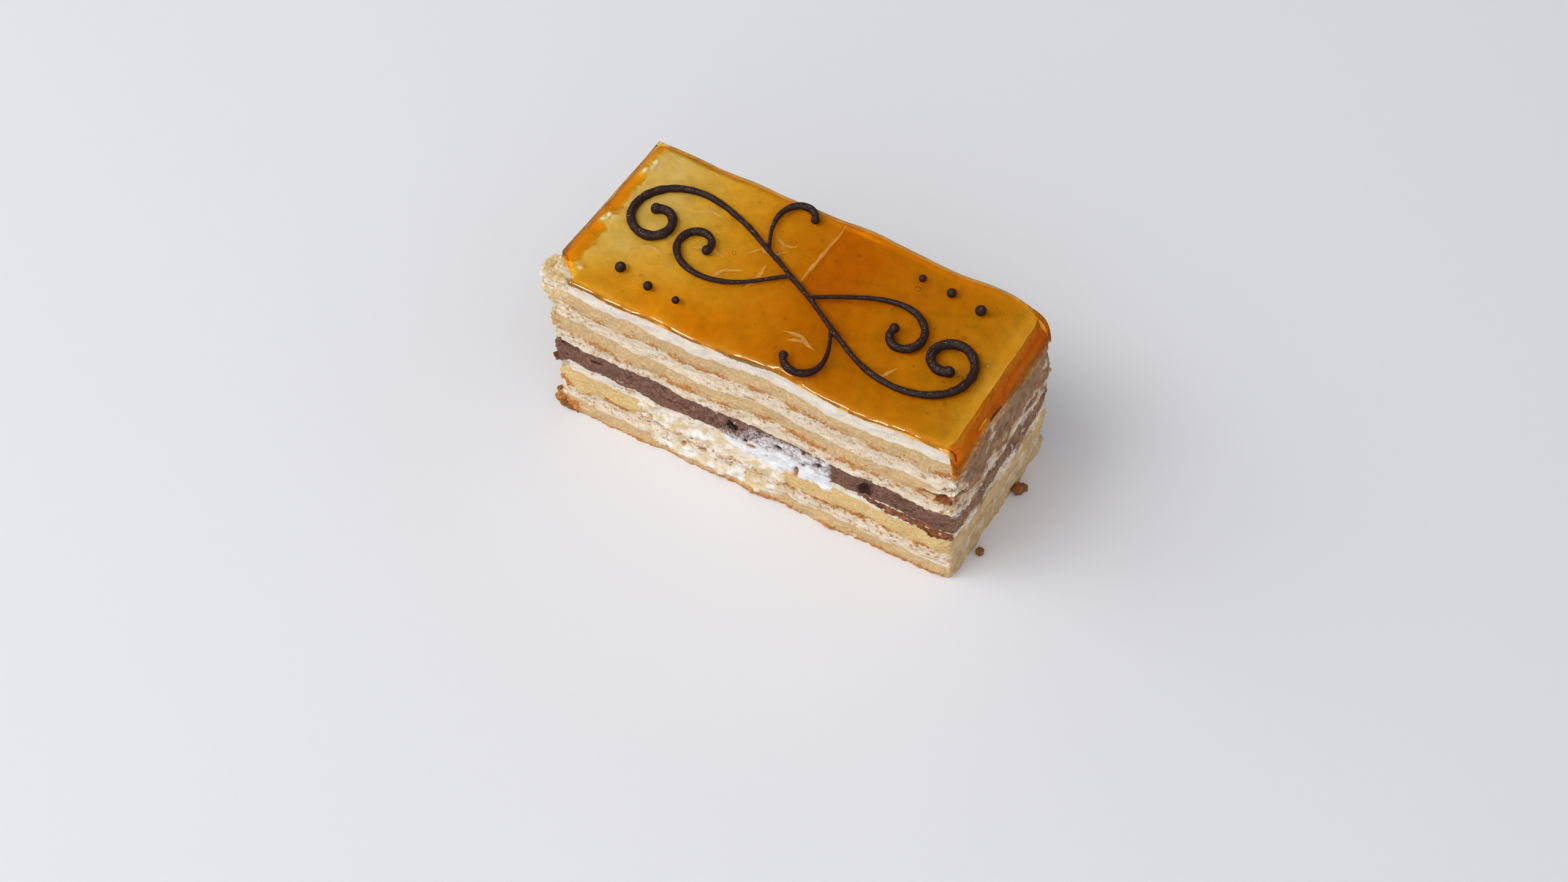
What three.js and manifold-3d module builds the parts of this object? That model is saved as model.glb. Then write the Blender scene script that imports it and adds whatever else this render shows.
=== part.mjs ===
// A slice of tall layered cake: five sponges and five creams under a poured caramel glaze that runs
// down one end, with a scroll of piped chocolate on top. Millimetres, +Z up, front of the slice at -Y.
import * as THREE from "three";
import { mergeVertices } from "three/addons/utils/BufferGeometryUtils.js";
import Module from "manifold-3d";

// The block as it was cut.
const HALF_LENGTH = 55.2;
const HALF_WIDTH = 23.9;
const FRONT_TURN = 1.2; // how far the front face swings over half the length
const BACK_TURN = 0.6;
const LEFT_TURN = 2.2; // how far the ends swing from front to back
const RIGHT_TURN = 0.9;
const CORNER_CUT = 0.9;
const LONG_POINTS = 24; // points along the front and the back
const SHORT_POINTS = 12; // points along each end
const TOP_RINGS = [0.95, 0.8, 0.6, 0.4, 0.18]; // rings of points across the top, as shares of its half sizes

// Layers from the underside upwards. The swell is the share of the top's waviness in a layer's upper
// face, and the bulge is how far its cut side stands out.
const LAYERS = [
  { name: "base_sponge", thick: 4.7, swell: 0.0, bulge: 0.3, colour: 0xcaa87a, roughness: 0.9 },
  { name: "lower_cream", thick: 5.4, swell: 0.1, bulge: -0.3, colour: 0xe2cfae, roughness: 0.6 },
  { name: "lower_sponge", thick: 7.2, swell: 0.1, bulge: 0.35, colour: 0xd0b27c, roughness: 0.9 },
  { name: "thin_cream", thick: 2.8, swell: 0.2, bulge: -0.2, colour: 0xe4d8c4, roughness: 0.6 },
  { name: "cocoa_sponge", thick: 7.6, swell: 0.3, bulge: 0.3, colour: 0x76594a, roughness: 0.95 },
  { name: "speckled_cream", thick: 4.3, swell: 0.9, bulge: -0.25, colour: 0xe0d0bb, roughness: 0.6 },
  { name: "middle_sponge", thick: 5.1, swell: 1.1, bulge: 0.25, colour: 0xd2b48c, roughness: 0.9 },
  { name: "middle_cream", thick: 5.6, swell: 0.6, bulge: -0.35, colour: 0xe3d3bc, roughness: 0.6 },
  { name: "upper_sponge", thick: 5.3, swell: 0.9, bulge: 0.3, colour: 0xcfb087, roughness: 0.9 },
  { name: "top_cream", thick: 4.2, swell: 1.0, bulge: -0.3, colour: 0xe2d2bd, roughness: 0.6 },
];

// The top rises and sinks along the length: place, height and spread of each swell.
const SWELLS = [
  { x: -51, rise: 1.4, spread: 9 },
  { x: -15, rise: -1.1, spread: 8 },
  { x: 5, rise: 2.2, spread: 10 },
  { x: 27, rise: -1.6, spread: 10 },
];
const BACK_CALM = 0.5; // share of the swell that is lost at the back
const UNEVEN = 0.35; // small unevenness of every layer
const CRAG = 0.45; // torn crumb on the cut sides

// The glazed end is rounded off at the top, so the upper layers stop short there.
const GLAZED_END_INSET = [3.9, 2.1, 0.5]; // from the top of the cream down
const TORN_CORNER = 2.2; // crumb and cream pushed out at the top of the front left corner
const BASE_CRUMB = 1.4; // crumb standing out at the foot of the same corner

// Caramel glaze.
const GLAZE_THICK = 1.9;
const GLAZE_LEAST = 0.8;
const GLAZE_LEVELS = 0.3; // share of the swell that it evens out
const GLAZE_THINS = { share: 0.35, from: 25, to: 50 }; // towards the unglazed end
const GLAZE_LIP = 0.45; // how far it hangs at the cut sides
const GLAZE_GAP = 0.5;
const GLAZE_RUN = 5.6; // how far it runs down the glazed end
const GLAZE_RUN_WAVE = 1.5;
const GLAZE_EDGE = 0.35; // roundness beyond the cream at the cut sides
const GLAZE_CURTAIN = 1.8; // thickness where it runs down
const GLAZE_FOOT = 0.8; // thickness at the lower edge of the run
const RUN_RINGS = [0.35, 0.72, 1]; // shares of the run
const SHOULDER_DROP = { cut: 0.25, run: 0.6 }; // roundness of the upper edge
const SHOULDER_BACK = { cut: 0.35, left: 0.9, run: -1.6 };
const GLAZE_COLOUR = 0xb87410;

// Piped chocolate scroll: one long S-shaped stem with a curl at both ends, and for each half of it an
// inner curl, a small outer curl and three pearls. The other half is the same turned half round.
const STROKE_STEP = 1.7;
const STROKE_SIDES = 6;
const STROKE_SINK = 0.4; // share of the radius that lies in the glaze
const STROKE_ROOT = 0.6; // depth of its foot in the glaze
const END_BLOB = 1.2; // a stroke ends in a blob, as a share of its radius
const STEM = { x: 0, y: 0, turn: -0.5, length: 82, ease: 2.3, curl: 0.3, thin: 0.65, thick: 1.2 };
const SIDE_CURLS = [
  { x: 3.6, y: -2, turn: 0.62, length: 48, ease: 2.0, curl: -0.36, thin: 0.55, thick: 1.05 },
  { x: 12, y: -6.2, turn: -1.1, length: 24, ease: 1.4, curl: -0.34, thin: 0.5, thick: 0.95 },
];
const PEARLS = [
  { x: 23.5, y: 17.5, radius: 1.0 },
  { x: 31.5, y: 17.0, radius: 1.2 },
  { x: 40.0, y: 15.5, radius: 1.4 },
];

const { cos, sin, exp, abs, min, max, PI } = Math;
const { lerp, clamp, smoothstep, seededRandom } = THREE.MathUtils;

seededRandom(41);
const jitter = (size) => size * (2 * seededRandom() - 1);
const uneven = (x, y, seed) =>
  0.6 * sin(0.21 * x + 0.13 * y + 2.1 * seed) + 0.4 * sin(0.39 * x - 0.27 * y + 3.7 * seed);

const tops = [0];
LAYERS.forEach((layer) => tops.push(tops.at(-1) + layer.thick));

function swellAt(x, y) {
  const height = SWELLS.reduce((sum, s) => sum + s.rise * exp(-(((x - s.x) / s.spread) ** 2)), 0);
  return height * (1 - BACK_CALM * smoothstep(y, -HALF_WIDTH, HALF_WIDTH));
}

// Height of the face between two layers.
function faceHeight(level, x, y) {
  if (level === 0) {
    return 0;
  }
  return tops[level] + LAYERS[level - 1].swell * swellAt(x, y) + UNEVEN * uneven(x, y, level);
}

// Stations round the slice, from the front left corner along the front, as shares of its half sizes.
const stations = [];
for (const [ax, ay, bx, by, count] of [
  [-1, -1, 1, -1, LONG_POINTS],
  [1, -1, 1, 1, SHORT_POINTS],
  [1, 1, -1, 1, LONG_POINTS],
  [-1, 1, -1, -1, SHORT_POINTS],
]) {
  for (let i = 0; i < count; i++) {
    const corner = i === 0;
    const out = corner ? new THREE.Vector2(ax, ay) : new THREE.Vector2(by - ay, ax - bx);
    stations.push({ u: lerp(ax, bx, i / count), v: lerp(ay, by, i / count), out: out.normalize(), corner });
  }
}

const insetAt = (level) => GLAZED_END_INSET[LAYERS.length - level] ?? 0;
const cragAt = (station, level) => (station.u === 1 && insetAt(level) > 0 ? 0.3 * CRAG : CRAG);

// Plan position of a share of the slice's half sizes at one level.
function plan(u, v, level) {
  const left = LEFT_TURN * ((v + 1) / 2) - HALF_LENGTH;
  const right = RIGHT_TURN * ((v + 1) / 2) + HALF_LENGTH - insetAt(level);
  const x = lerp(left, right, (u + 1) / 2);
  const front = -HALF_WIDTH + (FRONT_TURN * x) / HALF_LENGTH;
  const back = HALF_WIDTH + (BACK_TURN * x) / HALF_LENGTH;
  return new THREE.Vector2(x, lerp(front, back, (v + 1) / 2));
}

function edgePoint(station, level) {
  const flat = plan(station.u, station.v, level);
  const out = jitter(cragAt(station, level)) - (station.corner ? CORNER_CUT : 0);
  flat.addScaledVector(station.out, out);
  const torn = station.u === -1 && station.v < -0.8;
  if (torn && level === LAYERS.length - 1) {
    flat.x -= TORN_CORNER;
  }
  return new THREE.Vector3(flat.x, flat.y, faceHeight(level, flat.x, flat.y));
}

function innerRing(share, level, height) {
  return stations.map(({ u, v }) => {
    const flat = plan(share * u, share * v, level);
    return new THREE.Vector3(flat.x, flat.y, height(flat.x, flat.y));
  });
}

function interfaceAt(level) {
  const height = (x, y) => faceHeight(level, x, y);
  const middle = plan(0, 0, level);
  return {
    edge: stations.map((station) => edgePoint(station, level)),
    inner: level === LAYERS.length ? TOP_RINGS.map((share) => innerRing(share, level, height)) : [],
    centre: new THREE.Vector3(middle.x, middle.y, height(middle.x, middle.y)),
  };
}

// Rings of points are joined into a closed skin, from the middle of the underside to the middle of
// the top. The diagonal always leaves the outer ring, so that neighbouring layers share their faces.
function skin(under, rings, over) {
  const points = [];
  const faces = [];
  const push = (list) => list.map((p) => points.push(p.x, p.y, p.z) / 3 - 1);
  const band = (a, b, flip) => {
    a.forEach((p, i) => {
      const j = (i + 1) % a.length;
      faces.push(...(flip ? [p, b[j], a[j], p, b[i], b[j]] : [p, a[j], b[j], p, b[j], b[i]]));
    });
  };
  const fan = (ring, middle, flip) => {
    ring.forEach((p, i) => {
      const next = ring[(i + 1) % ring.length];
      faces.push(...(flip ? [next, p, middle] : [p, next, middle]));
    });
  };
  const [underMiddle] = push([under.centre]);
  const underInner = under.inner.map(push);
  const walls = rings.map(push);
  const overInner = over.inner.map(push);
  const [overMiddle] = push([over.centre]);
  const downward = [walls[0], ...underInner];
  const upward = [...walls, ...overInner];
  downward.slice(1).forEach((ring, i) => band(downward[i], ring, true));
  upward.slice(1).forEach((ring, i) => band(upward[i], ring, false));
  fan(downward.at(-1), underMiddle, true);
  fan(upward.at(-1), overMiddle, false);
  const geometry = new THREE.BufferGeometry();
  geometry.setAttribute("position", new THREE.Float32BufferAttribute(points, 3));
  geometry.setIndex(faces);
  return geometry;
}

const interfaces = tops.map((_, level) => interfaceAt(level));

// The cut side of a layer halfway up: sponge stands out, cream is dragged in by the knife.
const waists = LAYERS.map((layer, i) => {
  const [low, high] = [interfaces[i].edge, interfaces[i + 1].edge];
  return stations.map((station, k) => {
    const point = low[k].clone().lerp(high[k], 0.5);
    const out = layer.bulge + jitter(cragAt(station, i + 1));
    point.x += station.out.x * out;
    point.y += station.out.y * out;
    if (i === 0 && station.u === -1 && station.v < -0.8) {
      point.x -= BASE_CRUMB;
    }
    return point;
  });
});

const slice = new THREE.Group();
slice.name = "caramel_cake_slice";

function addNode(name, geometry, colour, roughness) {
  const shown = geometry.toNonIndexed();
  shown.computeVertexNormals();
  const material = new THREE.MeshStandardMaterial({ color: colour, roughness, metalness: 0 });
  const mesh = new THREE.Mesh(shown, material);
  mesh.name = name;
  slice.add(mesh);
}

LAYERS.forEach((layer, i) => {
  const [low, high] = [interfaces[i], interfaces[i + 1]];
  const body = skin(low, [low.edge, waists[i], high.edge], high);
  addNode(layer.name, body, layer.colour, layer.roughness);
});

// Caramel glaze: it lies on the top cream and hangs a little over the cut sides; at the glazed end it
// runs down over the cream and part of the sponge below.
const topLevel = LAYERS.length;
const glazeTop = (x, y) => {
  const thins = GLAZE_THINS.share * smoothstep(-x, GLAZE_THINS.from, GLAZE_THINS.to);
  const thick = GLAZE_THICK * (1 - thins) - GLAZE_LEVELS * swellAt(x, y);
  return faceHeight(topLevel, x, y) + max(thick, GLAZE_LEAST);
};

// The side of the cake under the glaze at one station, at a height.
function wallAt(k, z) {
  const line = [];
  for (let level = topLevel; level > topLevel - 2; level--) {
    line.push(interfaces[level].edge[k], waists[level - 1][k]);
  }
  line.push(interfaces[topLevel - 2].edge[k]);
  const after = max(1, line.findIndex((p) => p.z <= z));
  const [a, b] = [line[after - 1], line[after]];
  return a.clone().lerp(b, clamp((z - a.z) / (b.z - a.z), 0, 1)).setZ(z);
}

const glazeRings = [];
const under = interfaces[topLevel];
const runs = stations.map(({ u, v }) => {
  const atEnd = u === 1 ? smoothstep(1 - abs(v), -0.2, 0.06) : 0;
  const run = GLAZE_RUN + GLAZE_RUN_WAVE * sin(5.2 * v + 1.1);
  return lerp(GLAZE_LIP, run, atEnd);
});

function outward(k, point, distance) {
  const { out } = stations[k];
  return point.clone().add(new THREE.Vector3(out.x * distance, out.y * distance, 0));
}

glazeRings.push(under.edge);
for (const share of RUN_RINGS) {
  glazeRings.push(
    stations.map((_, k) => {
      const z = under.edge[k].z - share * runs[k];
      return outward(k, wallAt(k, z), GLAZE_GAP);
    }),
  );
}
const hang = runs.map((run) => smoothstep(run, GLAZE_LIP, GLAZE_RUN - GLAZE_RUN_WAVE));
const inner = glazeRings.at(-1);
glazeRings.push(inner.map((p, k) => outward(k, p, lerp(GLAZE_EDGE, GLAZE_FOOT, hang[k]))));
glazeRings.push(
  stations.map((_, k) => {
    const z = under.edge[k].z - 0.3 * runs[k] * hang[k] + 0.5 * GLAZE_THICK * (1 - hang[k]);
    const wall = wallAt(k, min(z, under.edge[k].z));
    return outward(k, wall, GLAZE_GAP + lerp(GLAZE_EDGE, GLAZE_CURTAIN, hang[k])).setZ(z);
  }),
);
glazeRings.push(
  stations.map((station, k) => {
    const back = station.u === -1 ? SHOULDER_BACK.left : SHOULDER_BACK.cut;
    const point = outward(k, under.edge[k], -lerp(back, SHOULDER_BACK.run, hang[k]));
    return point.setZ(glazeTop(point.x, point.y) - lerp(SHOULDER_DROP.cut, SHOULDER_DROP.run, hang[k]));
  }),
);
const topMiddle = plan(0, 0, topLevel);
const glazeSkin = skin(under, glazeRings, {
  inner: TOP_RINGS.map((share) => innerRing(share, topLevel, glazeTop)),
  centre: new THREE.Vector3(topMiddle.x, topMiddle.y, glazeTop(topMiddle.x, topMiddle.y)),
});

// Piping lies on the glaze as it is, so its height is found on the finished skin.
const glazeMesh = new THREE.Mesh(glazeSkin, new THREE.MeshStandardMaterial());
const probe = new THREE.Raycaster();
function glazeHeight(x, y) {
  probe.set(new THREE.Vector3(x, y, 2 * tops.at(-1)), new THREE.Vector3(0, 0, -1));
  return probe.intersectObject(glazeMesh)[0].point.z;
}

// A piped stroke: its curvature grows from the start of the sweep into the curl. One turned half
// round the middle of the scroll has the same form.
function strokePath(stroke, turned) {
  const way = turned ? -1 : 1;
  const steps = Math.round(stroke.length / STROKE_STEP);
  const pen = new THREE.Vector2(stroke.x, stroke.y);
  let heading = stroke.turn;
  const path = [];
  for (let i = 0; i <= steps; i++) {
    const share = i / steps;
    const radius = lerp(stroke.thin, stroke.thick, smoothstep(share, 0.15, 0.85));
    path.push({ x: way * pen.x, y: way * pen.y, radius });
    heading += stroke.curl * STROKE_STEP * share ** stroke.ease;
    pen.x += STROKE_STEP * cos(heading);
    pen.y += STROKE_STEP * sin(heading);
  }
  return path;
}

function strokeBody(path) {
  const curve = new THREE.CatmullRomCurve3(
    path.map((p) => new THREE.Vector3(p.x, p.y, glazeHeight(p.x, p.y) + p.radius * (1 - STROKE_SINK))),
  );
  const points = [];
  const faces = [];
  path.forEach((p, i) => {
    const along = curve.getTangent(i / (path.length - 1)).setZ(0).normalize();
    const side = new THREE.Vector3(-along.y, along.x, 0);
    const middle = curve.points[i];
    for (let j = 0; j < STROKE_SIDES; j++) {
      const turn = (2 * PI * j) / STROKE_SIDES;
      const width = p.radius * cos(turn);
      const foot = -p.radius * (1 - STROKE_SINK) - STROKE_ROOT;
      const height = sin(turn) < -0.1 ? foot : p.radius * sin(turn);
      points.push(middle.x + side.x * width, middle.y + side.y * width, middle.z + height);
    }
  });
  const ring = (i) => [...Array(STROKE_SIDES).keys()].map((j) => i * STROKE_SIDES + j);
  path.slice(1).forEach((_, i) => {
    const [a, b] = [ring(i), ring(i + 1)];
    a.forEach((p, j) => {
      const next = (j + 1) % STROKE_SIDES;
      faces.push(p, a[next], b[next], p, b[next], b[j]);
    });
  });
  const [first, last] = [ring(0), ring(path.length - 1)];
  for (let j = 1; j < STROKE_SIDES - 1; j++) {
    faces.push(first[0], first[j + 1], first[j], last[0], last[j], last[j + 1]);
  }
  const geometry = new THREE.BufferGeometry();
  geometry.setAttribute("position", new THREE.Float32BufferAttribute(points, 3));
  geometry.setIndex(faces);
  return geometry;
}

function ballBody(x, y, radius) {
  const ball = new THREE.IcosahedronGeometry(radius, 1);
  return ball.translate(x, y, glazeHeight(x, y) + radius * (1 - STROKE_SINK));
}

const wasm = await Module();
wasm.setup();

function solid(geometry) {
  const bare = geometry.clone();
  bare.deleteAttribute("normal");
  bare.deleteAttribute("uv");
  const welded = mergeVertices(bare);
  return new wasm.Manifold(
    new wasm.Mesh({
      numProp: 3,
      vertProperties: Float32Array.from(welded.attributes.position.array),
      triVerts: Uint32Array.from(welded.index.array),
    }),
  );
}

function shellOf(manifold) {
  const { vertProperties, triVerts } = manifold.getMesh();
  const geometry = new THREE.BufferGeometry();
  geometry.setAttribute("position", new THREE.BufferAttribute(vertProperties, 3));
  geometry.setIndex(new THREE.BufferAttribute(triVerts, 1));
  return geometry;
}

const stem = [...strokePath(STEM, true).slice(1).reverse(), ...strokePath(STEM, false)];
const curls = SIDE_CURLS.flatMap((curl) => [strokePath(curl, false), strokePath(curl, true)]);
const blobs = [stem[0], ...[stem, ...curls].map((path) => path.at(-1))];
let glaze = solid(glazeSkin);
for (const path of [stem, ...curls]) {
  glaze = glaze.add(solid(strokeBody(path)));
}
for (const { x, y, radius } of blobs) {
  glaze = glaze.add(solid(ballBody(x, y, END_BLOB * radius)));
}
for (const { x, y, radius } of PEARLS) {
  glaze = glaze.add(solid(ballBody(x, y, radius)));
  glaze = glaze.add(solid(ballBody(-x, -y, radius)));
}
addNode("caramel_glaze", shellOf(glaze), GLAZE_COLOUR, 0.15);

// The origin lies under the middle of the slice, on the surface that it stands on.
slice.updateMatrixWorld(true);
const box = new THREE.Box3().setFromObject(slice);
const shift = box.getCenter(new THREE.Vector3()).setZ(box.min.z).negate();
slice.children.forEach((mesh) => mesh.geometry.translate(shift.x, shift.y, shift.z));

export default slice;
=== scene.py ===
import math
import random

import bpy
import numpy as np
from mathutils import Matrix, Vector, noise


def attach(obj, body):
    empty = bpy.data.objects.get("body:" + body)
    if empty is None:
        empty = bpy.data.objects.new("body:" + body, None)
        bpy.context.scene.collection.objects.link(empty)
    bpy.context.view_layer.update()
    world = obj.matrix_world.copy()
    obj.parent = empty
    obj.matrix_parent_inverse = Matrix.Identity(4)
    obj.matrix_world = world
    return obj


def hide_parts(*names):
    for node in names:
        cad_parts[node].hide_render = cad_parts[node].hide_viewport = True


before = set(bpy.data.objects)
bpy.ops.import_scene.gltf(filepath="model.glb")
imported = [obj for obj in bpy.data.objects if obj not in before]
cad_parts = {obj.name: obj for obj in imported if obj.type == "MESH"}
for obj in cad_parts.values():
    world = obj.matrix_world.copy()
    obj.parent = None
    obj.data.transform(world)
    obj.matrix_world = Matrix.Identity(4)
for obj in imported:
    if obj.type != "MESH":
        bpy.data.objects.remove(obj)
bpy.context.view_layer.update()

# Sponge layers: thin sheets of baked egg sponge, three pale, one yellow and one with cocoa. Each was baked
# on its own, so it has a browned skin underneath, and its crumb is open where the knife cut down through it.
# Sizes and places here are millimetres of the cut block, from its middle and its underside.
MM = 0.001
CENTRE = (0.243, 0.217)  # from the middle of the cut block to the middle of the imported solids
HALF_LENGTH, HALF_WIDTH = 55.2, 23.9
LAYERS = [  # from the underside upwards, with their thickness
    ("base_sponge", 4.7), ("lower_cream", 5.4), ("lower_sponge", 7.2), ("thin_cream", 2.8),
    ("cocoa_sponge", 7.6), ("speckled_cream", 4.3), ("middle_sponge", 5.1), ("middle_cream", 5.6),
    ("upper_sponge", 5.3), ("top_cream", 4.2),
]
CAP_SLOPE = 0.75  # a face that lies flatter than this is the upper or the lower face of a layer
SIDE_CUTS, TOP_CUTS = 12, 9  # cuts in each edge of a layer, and of the one that shows its top
SOFT_ANGLE = math.radians(50)  # edges that are sharper than this stay sharp
INSET = (0.95, 0.89, 1.0)  # the hidden rims turn in behind the cut side to this share
CALM, CALM_REACH = 0.35, 0.8  # share of the relief that is left at a joint, and how far that reaches
CREAM_REACH = 0.3  # how far a cream is pressed into the sponges at its joints
WAVER = 0.5  # how far the knife dragged the joint between two layers up and down
BACK_CORNER = 3.0  # how far the top of the back right corner leans in
BACK_CORNER_ALONG = (42, 55.5)
RUN_BACKING = 0.7  # how far the top of the right end stands out behind the glaze that runs over it
PITS = [  # holes torn in the front: place, half width, half height, depth and how brown they are
    (-26.2, 9.4, 1.5, 1.3, 1.6, 0.7), (-5, 24.4, 1.5, 1.2, 1.8, 0), (7.7, 24, 0.9, 1.0, 1.5, 0),
    (3, 26.4, 0.8, 0.7, 1.1, 0), (0.3, 19.5, 1.4, 0.8, 1.1, 0.9), (12.4, 17, 0.7, 2.2, 1.2, 0.9),
    (14.3, 21.4, 0.6, 1.0, 1.1, 0.8), (-19.3, 6.5, 0.7, 0.9, 0.9, 1.0), (-13.6, 7.6, 0.9, 1.0, 0.8, 0.9),
    (31, 22, 1.5, 2.6, 1.5, 0.1), (18.6, 24.6, 0.9, 0.6, 0.9, 0), (14.5, 26.3, 0.5, 0.7, 0.9, 0),
    (-8, 19.4, 1.1, 0.8, 0.8, 0.2), (-1, 21.2, 0.6, 0.7, 0.9, 0), (-28.2, 12.2, 0.7, 0.7, 0.8, 0.7),
    (46.2, 38.6, 0.6, 0.5, 0.6, 0.6), (-43, 25.4, 1.6, 0.6, 0.8, 0), (-22, 23.8, 3.0, 0.5, 0.5, 0),
    (-6, 37.2, 1.0, 0.4, 0.5, 0.5), (0, 39, 1.6, 0.6, 0.6, 0.4),
]
BROWNED = [  # browned crumb on the front: place, reach along and up, and strength
    (-52.4, 1.8, 3.4, 2.6, 1.8), (-56, 3.6, 1.6, 2.2, 1.2), (51, 0.8, 5, 1.5, 0.8),
    (-33, 19.5, 2.2, 1.1, 0.9), (-54.2, 19.8, 1.2, 2.0, 1.0), (-54, 36, 1.8, 5, 0.6),
    (51.2, 43.6, 2.7, 1.0, 1.3), (51.8, 33.4, 2.4, 1.7, 1.0), (-16.5, 33.3, 1.7, 0.6, 1.0),
    (-21, 31.3, 2.2, 0.8, 1.1), (4, 34.8, 4.8, 0.7, 1.1), (10.6, 33.3, 1.0, 0.6, 0.9),
    (33.4, 31.3, 1.4, 0.7, 1.1), (40.3, 31.4, 1.0, 0.7, 1.0), (36.6, 11.6, 2.0, 0.8, 0.9),
    (31.5, 9.2, 1.0, 0.9, 0.8), (36, 7.4, 0.6, 1.6, 0.7), (39, 7, 0.6, 1.1, 0.7), (18, 6, 2.0, 0.7, 0.7),
    (14, 8.7, 0.9, 0.7, 0.7), (46, 9, 1.1, 0.8, 0.7), (44, 7.6, 0.6, 1.0, 0.7), (54, 8, 0.8, 1.1, 0.8),
    (17, 29.6, 0.6, 0.7, 0.9), (21.5, 29.7, 0.8, 0.6, 0.8), (28, 29.6, 0.9, 0.6, 0.8),
    (47.5, 29.5, 0.8, 0.7, 0.8), (51.3, 28.3, 0.7, 0.8, 0.9), (-2.8, 31.8, 0.5, 0.8, 0.9),
    (-26, 31.2, 1.8, 0.9, 0.6), (-37, 29.8, 1.7, 1.0, 0.8), (-47, 9.2, 3, 1.0, 0.8),
    (-36, 11.6, 4, 0.9, 0.7), (22, 9, 4, 0.7, 0.8), (-31.3, 45.6, 0.9, 0.7, 0.6),
]
SCORCHED = [  # the same for the dark red crumb below the cocoa sponge and in the split at the right
    (40, 18.9, 7, 1.4, 1.4), (50.5, 18.2, 6, 1.9, 1.5), (32, 19.2, 3, 0.9, 0.9),
    (51.8, 33.6, 2.6, 1.0, 1.0), (-55, 20.5, 1.4, 2.4, 1.0),
]
SPLIT = dict(along=(45, 50), middle=52, height=34.9, rise=0.2, half=0.65, depth=3.6)  # torn open
FACING = (0.2, 0.6)  # how far a face turns to a side before it is part of that side
FRONT_OUT, RIGHT_OUT, LEFT_OUT = (15, 20), (49, 53), (49.5, 54)  # and how far out it has to lie
WIPED_ALONG, WIPED_UP = (-31, 9, 4), (2.5, 18.8, 2.0)  # cream wiped over the front: from, to and soft edge
FROST_START, FROST_STOP, FROST_UP = (-20, 4), (21.7, 22.7), (15.5, 28.0, 1.8)  # frosty cream smeared on it
FLUFF = [  # cream on the right end by height: how much more or less, from, to and soft edge
    (0.4, 27, 33, 1.0), (-0.35, 34, 46, 2), (-0.3, 19.5, 26, 1), (-0.6, -5, 15.5, 1),
]
DRAWN = [(1.35, 30, 45, 2.0), (0.5, 19, 31, 1.0), (0.5, 15.5, 19.5, 1.0)]  # brown crumb drawn over it
DUSTED_UP = (-5, 16, 1.0)  # pale crumb dusted over its foot
SOAKED, SOAKED_UP = 0.55, (44, 47)  # how far the glaze that runs over it soaks in, and from what height


def pick(*pieces):
    """Only these are selected, and the first is active."""
    bpy.ops.object.select_all(action="DESELECT")
    for piece in pieces:
        piece.select_set(True)
    bpy.context.view_layer.objects.active = pieces[0]


def points_of(piece):
    """Points of a piece in the cut block's millimetres."""
    flat = np.empty(len(piece.data.vertices) * 3, np.float32)
    piece.data.vertices.foreach_get("co", flat)
    return flat.reshape(-1, 3).astype(float) / MM - (*CENTRE, 0)


def place_points(piece, points):
    piece.data.vertices.foreach_set("co", ((points + (*CENTRE, 0)) * MM).astype(np.float32).ravel())
    piece.data.update()


def normals_of(piece):
    flat = np.empty(len(piece.data.vertices) * 3, np.float32)
    piece.data.vertices.foreach_get("normal", flat)
    return flat.reshape(-1, 3)


def keep(piece, name, values):
    """Stores one value for every point, for the material."""
    field = piece.data.attributes.new(name, "FLOAT", "POINT")
    field.data.foreach_set("value", np.asarray(values, np.float32))


def kept(piece, name):
    values = np.empty(len(piece.data.vertices), np.float32)
    piece.data.attributes[name].data.foreach_get("value", values)
    return values


def smooth(value, low, high):
    """Goes from 0 at low to 1 at high without a kink."""
    share = np.clip((value - low) / (high - low), 0, 1)
    return share * share * (3 - 2 * share)


def band(value, low, high, soft):
    """1 between low and high, with soft edges, and 0 outside."""
    return smooth(value, low - soft, low + soft) * (1 - smooth(value, high - soft, high + soft))


def rough(points, grain, seed, stretch=(1, 1, 1)):
    """Uneven values about zero, with lumps of a grain in millimetres."""
    scaled = points / (grain * np.array(stretch)) + seed
    return np.array([noise.fractal(point, 1.0, 2.0, 3) for point in scaled])


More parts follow.
